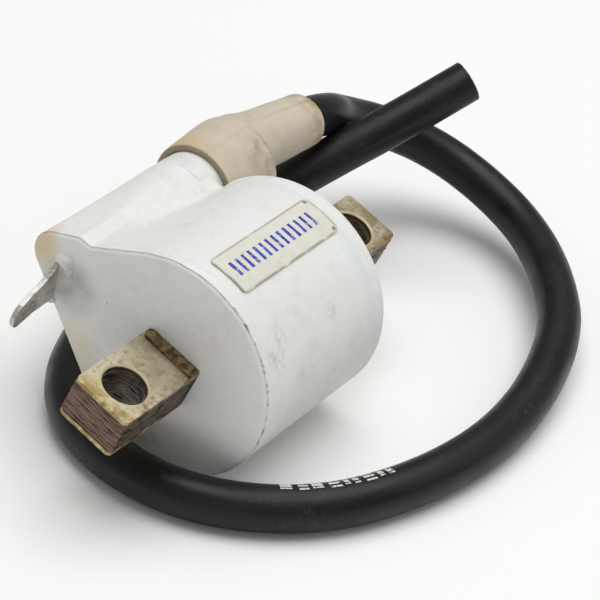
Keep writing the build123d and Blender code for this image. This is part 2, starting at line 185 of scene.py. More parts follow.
def new_material(name, **constants):
    """A Principled material with constants on its shader, and its place in the coil's own frame."""
    material = bpy.data.materials.new(name)
    material.use_nodes = True
    tree = material.node_tree
    tree.nodes.clear()
    shader = add(
        tree, "ShaderNodeBsdfPrincipled", {key.replace("_", " "): value for key, value in constants.items()}
    )
    add(tree, "ShaderNodeOutputMaterial", {"Surface": shader.outputs[0]})
    coords = add(tree, "ShaderNodeTexCoord")
    place = add(
        tree,
        "ShaderNodeMapping",
        {"Vector": coords.outputs["Object"], "Rotation": (-ROLL, 0, 0), "Scale": (1000, 1000, 1000)},
    )
    return material, tree, shader, place.outputs[0]


def patches(tree, place, size, low, high, seed=0.0, detail=4.0):
    """Soft-edged random patches about size millimetres across: 0 below low, 1 above high."""
    field = add(
        tree,
        "ShaderNodeTexNoise",
        {"Vector": place, "W": seed, "Scale": 1 / size, "Detail": detail},
        noise_dimensions="4D",
    )
    return add(
        tree,
        "ShaderNodeMapRange",
        {"Value": field.outputs[0], "From Min": low, "From Max": high},
        interpolation_type="SMOOTHSTEP",
    ).outputs[0]


def near(tree, place, point, inner, outer):
    """1 within inner millimetres of a point, falling to 0 at outer."""
    away = add(tree, "ShaderNodeVectorMath", {0: place, 1: point}, operation="DISTANCE")
    return add(
        tree,
        "ShaderNodeMapRange",
        {"Value": away.outputs["Value"], "From Min": outer, "From Max": inner},
        interpolation_type="SMOOTHSTEP",
    ).outputs[0]


def along(tree, place, axis, low, high):
    """A ramp from 0 at low to 1 at high along one of the coil's own axes, in millimetres."""
    parts = add(tree, "ShaderNodeSeparateXYZ", {0: place})
    return add(
        tree,
        "ShaderNodeMapRange",
        {"Value": parts.outputs[axis], "From Min": low, "From Max": high},
        interpolation_type="SMOOTHSTEP",
    ).outputs[0]


def both(tree, *masks):
    """The product of masks."""
    joined = masks[0]
    for mask in masks[1:]:
        joined = add(tree, "ShaderNodeMath", {0: joined, 1: mask}, operation="MULTIPLY").outputs[0]
    return joined


def layered(tree, base, *layers):
    """A colour with other colours laid over it, each through its mask."""
    colour = base
    for mask, over in layers:
        colour = add(tree, "ShaderNodeMix", {0: mask, 6: colour, 7: over}, data_type="RGBA").outputs[2]
    return colour


def set_surface(tree, shader, colour, roughness, height, depth, strength=1.0):
    """Joins colour, roughness between two values by a mask, and a bump of depth millimetres to the shader."""
    mask, smooth, rough = roughness
    spread = add(tree, "ShaderNodeMapRange", {"Value": mask, "To Min": smooth, "To Max": rough})
    bump = add(tree, "ShaderNodeBump", {"Height": height, "Strength": strength, "Distance": depth * MM})
    tree.links.new(colour, shader.inputs["Base Color"])
    tree.links.new(spread.outputs[0], shader.inputs["Roughness"])
    tree.links.new(bump.outputs[0], shader.inputs["Normal"])


def moulded_nylon(base):
    """Glass-filled white nylon, injection moulded: matt, a little see-through, dirt in its joints, painted
    shade round the blade's root.
    """
    material, tree, shader, place = new_material(
        "moulded_white_nylon", Subsurface_Weight=0.12, Subsurface_Scale=0.0008, IOR=1.53
    )
    cloud = patches(tree, place, 9.0, 0.35, 0.7, 1.0)
    grain = patches(tree, place, 0.9, 0.2, 0.8, 2.0, 8.0)
    nose = both(
        tree, near(tree, place, (11.2, 26.5, 1.5), 1.5, 5.5), patches(tree, place, 6.0, 0.1, 0.5, 3.0)
    )
    flat = both(tree, near(tree, place, (11.2, 14.0, -10.5), 1.5, 7.5), along(tree, place, 0, 14.0, 12.0))
    # Partly painted shade falling round the blade's root, partly dirt there, broken into grey patches.
    root_shade_and_dirt = both(
        tree,
        near(tree, place, (11.4, 18.6, -1.4), 1.0, 6.5),
        patches(tree, place, 3.0, 0.2, 0.7, 4.0),
        along(tree, place, 0, 12.0, 11.5),
    )
    joint_low = along(tree, place, 0, COVER_BACK - 0.22, COVER_BACK - 0.02)
    joint_high = along(tree, place, 0, COVER_BACK + 0.22, COVER_BACK + 0.02)
    joint = both(tree, joint_low, joint_high, patches(tree, place, 2.4, 0.5, 0.75, 5.0))
    edge_low = along(tree, place, 0, CASE_FRONT + FRONT_BEVEL - 0.22, CASE_FRONT + FRONT_BEVEL - 0.05)
    edge_high = along(tree, place, 0, CASE_FRONT + FRONT_BEVEL + 0.3, CASE_FRONT + FRONT_BEVEL + 0.08)
    edge = both(
        tree,
        edge_low,
        edge_high,
        patches(tree, place, 1.5, 0.46, 0.66, 6.0),
        along(tree, place, 1, 4.0, -6.0),
    )
    specks = both(
        tree, patches(tree, place, 0.55, 0.73, 0.79, 7.0, 2.0), patches(tree, place, 6.0, 0.4, 0.6, 8.0)
    )
    low_edge = both(tree, along(tree, place, 2, -7.0, -15.0), along(tree, place, 0, 24.0, 39.0))
    handled = both(
        tree, patches(tree, place, 5.0, 0.52, 0.75, 9.0), patches(tree, place, 0.9, 0.35, 0.65, 10.0)
    )
    colour = layered(
        tree,
        base,
        (both(tree, cloud, patches(tree, place, 2.0, 0.2, 0.9, 12.0)), linear("#E0DDD3")),
        (both(tree, low_edge, patches(tree, place, 7.0, 0.2, 0.7, 11.0)), linear("#D9D8BE")),
        (nose, linear("#E0CDA6")),
        (flat, linear("#E3DBC6")),
        (both(tree, handled, patches(tree, place, 20.0, 0.4, 0.6, 13.0)), linear("#CDC9BD")),
        (root_shade_and_dirt, linear("#B0AEA9")),
        (joint, linear("#CFC9B8")),
        (edge, linear("#8A7E68")),
        (specks, linear("#8A7658")),
    )
    set_surface(tree, shader, colour, (cloud, 0.42, 0.58), grain, 0.1, 0.6)
    return material


def printed_panel(base):
    """Ivory nylon, smoother than the case, as pad-printed panels are: it shows scuffs and yellowing."""
    material, tree, shader, place = new_material(
        "smooth_ivory_nylon_panel", Subsurface_Weight=0.1, Subsurface_Scale=0.0008, IOR=1.53
    )
    cloud = patches(tree, place, 4.0, 0.35, 0.65, 1.0)
    scuffs = both(tree, patches(tree, place, 0.8, 0.52, 0.62, 2.0), patches(tree, place, 5.0, 0.45, 0.6, 3.0))
    pits = near(tree, place, (38.2, 2.9, 17.4), 0.28, 0.42)
    other_pit = near(tree, place, (38.2, -2.9, 17.4), 0.28, 0.42)
    # Dirt holds along the pad's outline.
    parts = add(tree, "ShaderNodeSeparateXYZ", {0: place})
    across = add(tree, "ShaderNodeMath", {0: parts.outputs[1]}, operation="ABSOLUTE")
    centred = add(tree, "ShaderNodeMath", {0: parts.outputs[0], 1: PANEL_MIDDLE}, operation="SUBTRACT")
    length = add(tree, "ShaderNodeMath", {0: centred.outputs[0]}, operation="ABSOLUTE")
    inset = add(tree, "ShaderNodeMath", {0: length.outputs[0], 1: PANEL_FLAT}, operation="SUBTRACT")
    edge = add(tree, "ShaderNodeMath", {0: across.outputs[0], 1: inset.outputs[0]}, operation="MAXIMUM")
    line = add(
        tree,
        "ShaderNodeMapRange",
        {"Value": edge.outputs[0], "From Min": 3.1, "From Max": 3.4},
        interpolation_type="SMOOTHSTEP",
    )
    rim = both(tree, line.outputs[0], patches(tree, place, 1.8, 0.25, 0.55, 6.0))
    colour = layered(
        tree,
        base,
        (cloud, linear("#DAD8CB")),
        (both(tree, scuffs, cloud), linear("#CCC9BA")),
        (rim, linear("#A5A38F")),
        (pits, linear("#8F8268")),
        (other_pit, linear("#8F8268")),
    )
    set_surface(tree, shader, colour, (cloud, 0.3, 0.5), patches(tree, place, 0.5, 0.3, 0.7, 4.0), 0.03, 0.4)
    return material


def panel_ink(ink):
    """Pad-printing ink, worn: blue where it is left, the panel's ivory where it has rubbed off."""
    material, tree, shader, place = new_material("worn_blue_pad_print", IOR=1.5)
    worn = patches(tree, place, 0.45, 0.55, 0.66, 1.0)
    light = patches(tree, place, 2.5, 0.45, 0.7, 2.0)
    colour = layered(tree, ink, (light, linear("#3F5CC0")), (worn, linear("#A9AAC8")))
    set_surface(tree, shader, colour, (worn, 0.35, 0.5), worn, 0.01, 0.3)
    return material


def hole_distance(tree, place, x):
    """Distance from a fixing hole's axis, millimetres."""
    flat = add(tree, "ShaderNodeVectorMath", {0: place, 1: (1, 1, 0)}, operation="MULTIPLY")
    return add(
        tree, "ShaderNodeVectorMath", {0: flat.outputs[0], 1: (x, 0, 0)}, operation="DISTANCE"
    ).outputs["Value"]


def plated_steel(name, base, spread):
    """Zinc-plated steel strip, yellow passivated and stamped: low sheen, rust along its cut edges."""
    material, tree, shader, place = new_material(name, Metallic=0.6)
    cloud = patches(tree, place, 3.5, 0.35, 0.65, 1.0)
    # The rolled strip's grain runs along the core.
    stretched = add(tree, "ShaderNodeMapping", {"Vector": place, "Scale": (0.12, 1.6, 1.0)})
    grain = patches(tree, stretched.outputs[0], 0.5, 0.3, 0.7, 2.0)
    edge_front = along(tree, place, 0, -2.2, -5.6)
    edge_side = along(tree, place, 1, -2.9, -5.0)
    freckles = patches(tree, place, 0.8, 0.5, 0.64, 3.0)
    colour = layered(
        tree,
        base,
        (cloud, linear("#A59A7C")),
        (both(tree, along(tree, place, 0, 1.0, -4.0), cloud), linear("#C6B984")),
        (both(tree, grain, patches(tree, place, 6.0, 0.3, 0.7, 4.0)), linear("#BDB9A8")),
        # Painted shade: the plate darker towards the case, in patches.
        (
            both(tree, along(tree, place, 0, 3.6, 9.0), patches(tree, place, 3.0, 0.38, 0.6, 8.0)),
            linear("#8F8260"),
        ),
        (both(tree, freckles, spread), linear("#8C6F43")),
        (both(tree, edge_front, patches(tree, place, 1.4, 0.4, 0.58, 5.0)), linear("#9A8250")),
        (both(tree, edge_side, patches(tree, place, 1.8, 0.46, 0.62, 6.0)), linear("#7C5A38")),
        (patches(tree, place, 0.35, 0.68, 0.74, 7.0), linear("#5A4028")),
    )
    for x in (0.0, HOLE_SPACING):
        away = hole_distance(tree, place, x)
        # Painted highlight: a thin light ring round each hole's edge.
        rim = add(
            tree,
            "ShaderNodeMapRange",
            {"Value": away, "From Min": 3.74, "From Max": 3.66},
            interpolation_type="SMOOTHSTEP",
        )
        wall = add(
            tree,
            "ShaderNodeMapRange",
            {"Value": away, "From Min": 3.46, "From Max": 3.36},
            interpolation_type="SMOOTHSTEP",
        )
        colour = layered(
            tree, colour, (rim.outputs[0], linear("#E2D9B8")), (wall.outputs[0], linear("#5B4630"))
        )
    set_surface(tree, shader, colour, (freckles, 0.4, 0.7), grain, 0.02, 0.35)
    return material


def lamination_steel():
    """Silicon-steel sheets, sheared and varnished: brown oxide on the cut ends, painted highlights along the
    arrises.
    """
    material, tree, shader, place = new_material("sheared_silicon_steel", Metallic=0.45)
    cloud = patches(tree, place, 1.8, 0.35, 0.65, 1.0)
    front = along(tree, place, 0, -4.6, -5.2)
    rear = along(tree, place, 0, 62.3, 63.0)
    parts = add(tree, "ShaderNodeSeparateXYZ", {0: place})
    # Painted highlight: a thin light line along each sheet's edge, broken into streaks.
    level = add(tree, "ShaderNodeMath", {0: parts.outputs[2], 1: 1 / 6}, operation="PINGPONG")
    arris_highlight = add(
        tree,
        "ShaderNodeMapRange",
        {"Value": level.outputs[0], "From Min": 0.1, "From Max": 0.04},
        interpolation_type="SMOOTHSTEP",
    )
    streaks = add(tree, "ShaderNodeMapping", {"Vector": place, "Scale": (0.4, 0.4, 3.0)})
    broken = patches(tree, streaks.outputs[0], 1.0, 0.36, 0.56, 2.0)
    rust = patches(tree, place, 0.7, 0.5, 0.65, 3.0)
    colour = layered(
        tree,
        linear("#3A3630"),
        (cloud, linear("#2C2926")),
        (front, linear("#56372F")),
        (both(tree, front, rust), linear("#6E4A3A")),
        (rear, linear("#A68150")),
        (both(tree, rear, cloud), linear("#8A6538")),
        (both(tree, arris_highlight.outputs[0], broken), linear("#B3A08E")),
    )
    set_surface(tree, shader, colour, (rust, 0.42, 0.7), broken, 0.02, 0.4)
    return material


def tinned_brass():
    """Tinned brass strip, stamped: soft grey sheen, darker where it has tarnished."""
    material, tree, shader, place = new_material("tarnished_tinned_brass", Metallic=0.75)
    tarnish = patches(tree, place, 1.6, 0.42, 0.64, 1.0)
    stretched = add(tree, "ShaderNodeMapping", {"Vector": place, "Scale": (0.3, 2.0, 2.0)})
    scratches = patches(tree, stretched.outputs[0], 0.4, 0.52, 0.6, 2.0)
    colour = layered(
        tree,
        linear("#C6C4BD"),
        (tarnish, linear("#A5A29A")),
        (scratches, linear("#DCDAD2")),
        (patches(tree, place, 0.5, 0.64, 0.7, 3.0), linear("#6B5D48")),
    )
    set_surface(tree, shader, colour, (tarnish, 0.38, 0.6), scratches, 0.02, 0.3)
    return material


def oxidised_copper(name, base, dark, rough):
    """Copper left in the air: pinkish where it is rubbed, brown oxide elsewhere."""
    material, tree, shader, place = new_material(name, Metallic=0.8)
    oxide = patches(tree, place, 0.9, 0.4, 0.62, 1.0)
    fine = patches(tree, place, 0.3, 0.4, 0.7, 2.0)
    colour = layered(tree, base, (oxide, dark), (both(tree, fine, oxide), linear("#3C2418")))
    set_surface(tree, shader, colour, (oxide, rough - 0.15, rough + 0.1), fine, 0.02, 0.4)
    return material


def aged_rubber(base):
    """Compression-moulded rubber gone chalky: beige bloom, ochre at the mouth and dark handling smudges."""
    material, tree, shader, place = new_material(
        "aged_moulded_rubber", Subsurface_Weight=0.06, Subsurface_Scale=0.0006, IOR=1.5
    )
    cloud = patches(tree, place, 5.0, 0.35, 0.65, 1.0)
    grain = patches(tree, place, 0.3, 0.35, 0.7, 2.0, 6.0)
    mouth = both(
        tree,
        along(tree, place, 0, 47.0, 41.3),
        along(tree, place, 1, 18.0, 25.0),
        patches(tree, place, 4.0, 0.2, 0.6, 3.0),
    )
    rim = along(tree, place, 0, 41.5, 41.25)
    smudges = both(
        tree, near(tree, place, (50.5, 16.5, 9.0), 1.0, 5.0), patches(tree, place, 2.2, 0.35, 0.75, 4.0)
    )
    tail_dirt = both(tree, along(tree, place, 0, 66.5, 72.0), patches(tree, place, 2.0, 0.35, 0.6, 5.0))
    end = along(tree, place, 0, 71.4, 72.0)
    dirt = both(tree, patches(tree, place, 2.2, 0.5, 0.66, 6.0), patches(tree, place, 8.0, 0.4, 0.6, 7.0))
    colour = layered(
        tree,
        base,
        (cloud, linear("#C3B8A3")),
        (mouth, linear("#CDB284")),
        (rim, linear("#9A8C72")),
        (both(tree, dirt, cloud), linear("#B0A48E")),
        (smudges, linear("#948875")),
        (tail_dirt, linear("#AC9873")),
        (end, linear("#7A6A50")),
        (patches(tree, place, 0.4, 0.7, 0.76, 8.0), linear("#6D604A")),
    )
    set_surface(tree, shader, colour, (cloud, 0.5, 0.68), grain, 0.06, 0.5)
    return material


def black_jacket(base):
    """Extruded black PVC: satin, with fine draw lines, dust and scuffs."""
    material, tree, shader, place = new_material("extruded_black_jacket", IOR=1.52, Specular_IOR_Level=0.3)
    cloud = patches(tree, place, 6.0, 0.35, 0.65, 1.0)
    dust = both(tree, patches(tree, place, 0.7, 0.52, 0.66, 2.0), patches(tree, place, 9.0, 0.42, 0.62, 3.0))
    grain = patches(tree, place, 0.4, 0.3, 0.7, 4.0, 6.0)
    colour = layered(
        tree,
        base,
        (cloud, linear("#121212")),
        (both(tree, dust, cloud), linear("#2E2D2B")),
        (patches(tree, place, 0.35, 0.75, 0.8, 5.0), linear("#5C5952")),
    )
    set_surface(tree, shader, colour, (cloud, 0.33, 0.46), grain, 0.04, 0.35)
    return material


def plain_finish(name, base, dark, grain_size, roughness, **constants):
    """A moulded, wound or poured stuff with two close tones and a fine relief, for what the case hides."""
    material, tree, shader, place = new_material(name, **constants)
    cloud = patches(tree, place, grain_size * 6, 0.35, 0.65, 1.0)
    grain = patches(tree, place, grain_size, 0.3, 0.7, 2.0)
    colour = layered(tree, linear(base), (cloud, linear(dark)))
    set_surface(tree, shader, colour, (grain, roughness - 0.06, roughness + 0.06), grain, 0.03, 0.4)
    return material


def pale_print():
    """White transfer print on the jacket, nearly rubbed away."""
    material, tree, shader, place = new_material("rubbed_white_print", IOR=1.5)
    worn = patches(tree, place, 0.35, 0.5, 0.62, 1.0)
    colour = layered(tree, linear("#DDDCD8"), (worn, linear("#6A6A67")))
    set_surface(tree, shader, colour, (worn, 0.4, 0.5), worn, 0.01, 0.3)
    return material


# ---- small makers --------------------------------------------------------------------------------------
def link_mesh(name, mesh, *materials):
    """A mesh object at the origin with its materials."""
    piece = bpy.data.objects.new(name, mesh)
    bpy.context.scene.collection.objects.link(piece)
    for material in materials:
        mesh.materials.append(material)
    return piece


def mesh_from(name, maker, smooth=True):
    """A mesh of what maker leaves in a bmesh, its faces turned outwards."""
    shape = bmesh.new()
    maker(shape)
    bmesh.ops.recalc_face_normals(shape, faces=shape.faces)
    mesh = bpy.data.meshes.new(name)
    shape.to_mesh(mesh)
    shape.free()
    for face in mesh.polygons:
        face.use_smooth = smooth
    return mesh


def settle(piece, slot, *replaced):
    """Lets a finished piece ride on the coil and hides the CAD nodes it replaces."""
    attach(piece, BODY)
    if replaced:
        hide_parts(*replaced)


def finish_node(material, *names):
    """Gives CAD nodes a material."""
    for name in names:
        mesh = NODES[name].data
        mesh.materials.clear()
        mesh.materials.append(material)


def join_rings(shape, rings, closed=False):
    """Quads between neighbouring rings of points, and from the last back to the first if closed."""
    loops = [[shape.verts.new(point) for point in ring] for ring in rings]
    pairs = list(zip(loops, loops[1:]))
    if closed:
        pairs.append((loops[-1], loops[0]))
    for one, two in pairs:
        count = len(one)
        for i in range(count):
            j = (i + 1) % count
            shape.faces.new((one[i], one[j], two[j], two[i]))
    return loops


def circle_points(centre, way, radius, count, start=0.0):
    """Points round a circle about centre, facing along way."""
    way = way.normalized()
    up = Vector((0, 0, 1))
    side = up.cross(way).normalized()
    top = way.cross(side)
    turns = [start + 2 * math.pi * i / count for i in range(count)]
    return [centre + radius * (math.cos(t) * side + math.sin(t) * top) for t in turns]


# ---- stage ---------------------------------------------------------------------------------------------
class COIL_OT_stage(bpy.types.Operator):
    """Makes the pale floor, the soft lights and the camera"""

    bl_idname = "coil.stage"
    bl_label = "Stage"

    def execute(self, context):
        scene = context.scene
        level = CAD_BOX[0].z
        floor_mesh = bpy.data.meshes.new("floor")
        reach = 4.0
        corners = [
            (-reach, -reach, level), (reach, -reach, level), (reach, reach, level), (-reach, reach, level)
        ]
        floor_mesh.from_pydata(corners, [], [(0, 1, 2, 3)])
        material, tree, shader, place = new_material("matt_paper_floor")
        tone = patches(tree, place, 300.0, 0.3, 0.7, 1.0)
        colour = layered(tree, scene.coil_colours.floor[:], (tone, linear("#FBFBFA")))
        set_surface(tree, shader, colour, (tone, 0.8, 0.9), tone, 0.01, 0.1)
        link_mesh("floor", floor_mesh, material)

        world = bpy.data.worlds.new("studio")
        scene.world = world
        world.use_nodes = True
        world.node_tree.nodes["Background"].inputs[0].default_value = (1, 1, 1, 1)
        world.node_tree.nodes["Background"].inputs[1].default_value = 0.3
        scene.view_settings.view_transform = "Standard"

        target = Vector((0.045, 0.0, 0.0))
        lamps = [
            ("key", (0.15, -0.02, 0.8), 0.9, 5.7),
            ("fill", (-0.75, -0.35, 0.45), 0.8, 0.5),
            ("side", (0.5, -0.6, 0.5), 0.6, 0.6),
        ]
        for name, spot, size, power in lamps:
            light = bpy.data.lights.new(name, "AREA")
            light.shape = "DISK"
            light.size = size
            light.energy = power
            lamp = bpy.data.objects.new(name, light)
            scene.collection.objects.link(lamp)
            lamp.location = spot
            lamp.rotation_euler = (target - Vector(spot)).to_track_quat("-Z", "Y").to_euler()

        lens = bpy.data.cameras.new("camera")
        lens.sensor_width = 36.0
        lens.lens = 157.95
        lens.clip_start = 0.01
        camera = bpy.data.objects.new("camera", lens)
        scene.collection.objects.link(camera)
        camera.location = Vector((-247.46184, -165.87246, 213.54489)) * MM
        camera.rotation_euler = [math.radians(a) for a in (56.75036, -7.32684, -55.82781)]
        scene.camera = camera
        return {"FINISHED"}


# ---- lead ----------------------------------------------------------------------------------------------
def route_curve(name, radius):
    """The lead's line as one NURBS spline."""
    curve = bpy.data.curves.new(name, "CURVE")
    curve.dimensions = "3D"
    curve.resolution_u = 16
    curve.bevel_depth = radius
    curve.bevel_resolution = 8
    spline = curve.splines.new("NURBS")
    spline.points.add(len(LEAD_ROUTE) - 1)
    for point, spot in zip(spline.points, LEAD_ROUTE):
        point.co = (*(Vector(spot) * MM), 1.0)
    spline.order_u = 3
    spline.use_endpoint_u = True
    return curve


def route_line():
    """Points read from the lead's spline, in order."""
    curve = route_curve("lead_line", 0.0)
    guide = bpy.data.objects.new("lead_line", curve)
    bpy.context.scene.collection.objects.link(guide)
    bpy.context.view_layer.update()
    mesh = bpy.data.meshes.new_from_object(guide.evaluated_get(bpy.context.evaluated_depsgraph_get()))
    line = [v.co.copy() for v in mesh.vertices]
    bpy.data.objects.remove(guide)
    bpy.data.meshes.remove(mesh)
    bpy.data.curves.remove(curve)
    return line


def at_distance(line, distance):
    """Point and direction at a distance along a line of points."""
    for one, two in zip(line, line[1:]):
        step = (two - one).length
        if distance <= step:
            return one.lerp(two, distance / max(step, 1e-9)), (two - one).normalized()
        distance -= step
    return line[-1].copy(), (line[-1] - line[-2]).normalized()


PRINT_SPAN = (0.139, 0.157)  # where the worn print is, along the lead
PRINT_SIDE = Vector((0.13, 0.23, 0.91))  # which side of the lead it faces


def print_patches(line, radius):
    """Small curved patches on the jacket, laid like worn print."""

    def build(shape):
        chance = random.Random(4)
        place = PRINT_SPAN[0]
        while place < PRINT_SPAN[1]:
            width = chance.uniform(0.0007, 0.0019)
            height = chance.uniform(0.24, 0.34)
            rows = []
            for share in (0.0, 0.5, 1.0):
                centre, way = at_distance(line, place + share * width)
                out = (PRINT_SIDE - way * PRINT_SIDE.dot(way)).normalized()
                across = way.cross(out)
                rows.append(
                    [
                        centre + radius * (math.cos(a) * out + math.sin(a) * across)
                        for a in (-height, 0.0, height)
                    ]
                )
            corners = [[shape.verts.new(p) for p in row] for row in rows]
            for i in range(2):
                for j in range(2):
                    shape.faces.new(
                        (corners[i][j], corners[i + 1][j], corners[i + 1][j + 1], corners[i][j + 1])
                    )
            place += width + chance.uniform(0.0004, 0.0011)

    return build


def cut_end(line):
    """The lead's cut face: a slightly torn ring of jacket and the conductor's strands, set back in it."""

    def build(shape):
        tip = line[-1]
        way = (line[-1] - line[-2]).normalized()
        profile = [
            (-0.35, 3.4), (0.0, 3.5), (0.06, 3.42), (0.05, 2.4), (0.02, 1.35), (-0.15, 1.2), (-0.9, 1.18)
        ]
        rings = []
        for number, (forward, radius) in enumerate(profile):
            ring = circle_points(tip + way * forward * MM, way, radius * MM, 48)
            if number in (2, 3, 4):
                ring = [p + way * 0.05 * MM * noise.noise(p * 1500) for p in ring]
            rings.append(ring)
        loops = join_rings(shape, rings)
        shape.faces.new(loops[-1])

    return build


def strands(line):
    """Seven round strands of the conductor, their ends a little uneven."""

    def build(shape):
        tip = line[-1]
        way = (line[-1] - line[-2]).normalized()
        spots = [tip] + circle_points(tip, way, 0.66 * MM, 6)
        chance = random.Random(9)
        for spot in spots:
            reach = chance.uniform(-0.5, -0.25)
            profile = [(-0.95, 0.32), (reach - 0.08, 0.32), (reach, 0.2)]
            loops = join_rings(
                shape, [circle_points(spot + way * f * MM, way, r * MM, 12) for f, r in profile]
            )
            shape.faces.new(loops[-1])
            shape.faces.new(loops[0])

    return build


class COIL_OT_lead(bpy.types.Operator):
    """Lays the free lead as a smooth curve, with its worn print, cut end and strands"""

    bl_idname = "coil.lead"
    bl_label = "High-tension lead"

    def execute(self, context):
        radius = context.scene.coil_sizes.lead_diameter / 2
        jacket = black_jacket(context.scene.coil_colours.lead[:])
        lead = bpy.data.objects.new("lead_jacket", route_curve("lead_jacket", radius))
        context.scene.collection.objects.link(lead)
        lead.data.materials.append(jacket)
        line = route_line()
        # Cut PVC: dull grey-pink where the knife went through.
        face = plain_finish("knife_cut_jacket", "#8E807C", "#6F6461", 0.4, 0.6)
        end = link_mesh("lead_cut_face", mesh_from("lead_cut_face", cut_end(line)), face)
        wires = link_mesh(
            "lead_strands",
            mesh_from("lead_strands", strands(line)),
            oxidised_copper("stranded_copper", linear("#7A5540"), linear("#4A3226"), 0.5),
        )
        marks = link_mesh(
            "lead_print", mesh_from("lead_print", print_patches(line, radius + 0.00001)), pale_print()
        )
        settle(lead, "lead_insulation", "ht_lead_insulation")
        settle(end, "lead_insulation")
        settle(wires, "copper_wire", "ht_lead_conductor")
        settle(marks, "lead_insulation")
        finish_node(jacket, "lead_root_insulation")
        return {"FINISHED"}


# ---- boot ----------------------------------------------------------------------------------------------
BELL = [
    (41.2, 6.95), (41.24, 7.16), (41.4, 7.3), (41.8, 7.38), (43.5, 7.52), (46.0, 7.76), (48.5, 7.98),
    (50.2, 8.09), (51.2, 8.08), (52.0, 7.94), (52.6, 7.66), (53.1, 7.24),
]
SHOULDER = [(53.5, 6.78, 0.35), (53.9, 6.36, 0.6), (54.4, 6.02, 0.82), (55.2, 5.72, 0.96)]
TAIL = [
    (56.4, 5.46), (58.0, 5.18), (60.0, 4.95), (62.5, 4.86), (65.0, 4.76), (67.5, 4.67), (69.8, 4.58),
    (71.0, 4.53), (71.5, 4.46), (71.72, 4.34), (71.8, 4.16), (71.78, 3.74), (71.6, 3.56), (66.0, 3.54),
]
INSIDE = [(45.2, 3.54), (45.2, 6.24), (41.7, 6.24), (41.3, 6.36), (41.2, 6.6)]
SEAM_ANGLES = (math.radians(103), math.radians(283))
NOTCH_ANGLE = math.radians(-20)


def tail_centre(x):
    """Middle of the boot's tail at a distance along X, millimetres."""
    start, end = Vector(TAIL_START), Vector(TAIL_END)
    return start + (end - start) * ((x - start.x) / (end.x - start.x))


BOOT_SPOKES = 240  # points round the boot
NOTCH_START = 70.8  # the notch in the tail's end begins here, along X


def boot_shape(unevenness):
    """A bell, an eccentric shoulder and a tapering tail round the lead, with a fine mould seam."""
    tower = ROLLED @ Vector((0, *TOWER))

    def ring(x, radius, share, rough=1.0):
        centre = Vector((x, tower.y, tower.z)).lerp(tail_centre(x), share)
        points = []
        for number in range(BOOT_SPOKES):
            turn = 2 * math.pi * number / BOOT_SPOKES
            out = Vector((0, math.cos(turn), math.sin(turn)))
            lump = noise.noise((centre + out * radius) * 0.35) * unevenness * 1000 * rough
            off = min(abs(math.atan2(math.sin(turn - a), math.cos(turn - a))) for a in SEAM_ANGLES) * radius
            seam = (
                0.16 * math.exp(-((off / 0.13) ** 2)) - 0.1 * math.exp(-(((off - 0.3) / 0.14) ** 2))
            ) * rough
            point = centre + out * (radius + lump + seam)
            if x > NOTCH_START and share == 1.0:
                gap = abs(math.atan2(math.sin(turn - NOTCH_ANGLE), math.cos(turn - NOTCH_ANGLE)))
                point.x -= 0.9 * max(0.0, 1 - (gap / 0.35) ** 2) * (x - NOTCH_START)
            points.append(point * MM)
        return points

    def build(shape):
        rings = [ring(x, radius, 0.0) for x, radius in BELL]
        rings += [ring(x, radius, share) for x, radius, share in SHOULDER]
        rings += [ring(x, radius, 1.0, 1.0 if radius > 4 else 0.0) for x, radius in TAIL]
        rings += [ring(x, radius, 0.0, 0.0) for x, radius in INSIDE]
        join_rings(shape, rings, closed=True)

    return build


class COIL_OT_boot(bpy.types.Operator):
    """Makes the rubber boot: bell, shoulder, tail, mould seam and notched end"""

    bl_idname = "coil.boot"
    bl_label = "Rubber boot"

    def execute(self, context):
        mesh = mesh_from("boot", boot_shape(context.scene.coil_sizes.boot_unevenness))
        boot = link_mesh("boot", mesh, aged_rubber(context.scene.coil_colours.boot[:]))
        settle(boot, "rubber_boot", "lead_boot")
        return {"FINISHED"}


# ---- core ----------------------------------------------------------------------------------------------
CORE_MIDDLE = 28.9  # along X


def one_sheet(length, width, thickness, level):
    """A core sheet with its two holes, lying at level in the coil's own frame, millimetres."""

    def build(shape):
        middle = CORE_MIDDLE
        outline = [
            (middle - length / 2, -width / 2), (middle + length / 2, -width / 2),
            (middle + length / 2, width / 2), (middle - length / 2, width / 2),
        ]
        loops = [outline]
        for x in (0.0, HOLE_SPACING):
            loops.append(
                [
                    (
                        x + HOLE_RADIUS * math.cos(2 * math.pi * i / HOLE_SPOKES),
                        HOLE_RADIUS * math.sin(2 * math.pi * i / HOLE_SPOKES),
                    )
                    for i in range(HOLE_SPOKES)
                ]
            )
        edges = []
        for loop in loops:
            verts = [shape.verts.new(coil_point(x, y, level)) for x, y in loop]
            edges += [shape.edges.new((verts[i], verts[(i + 1) % len(verts)])) for i in range(len(verts))]
        filled = bmesh.ops.triangle_fill(shape, use_beauty=True, edges=edges)
        faces = [f for f in filled["geom"] if isinstance(f, bmesh.types.BMFace)]
        raised = bmesh.ops.extrude_face_region(shape, geom=faces)
        lift = coil_point(0, 0, thickness)
        bmesh.ops.translate(
            shape, vec=lift, verts=[v for v in raised["geom"] if isinstance(v, bmesh.types.BMVert)]
        )

    return build


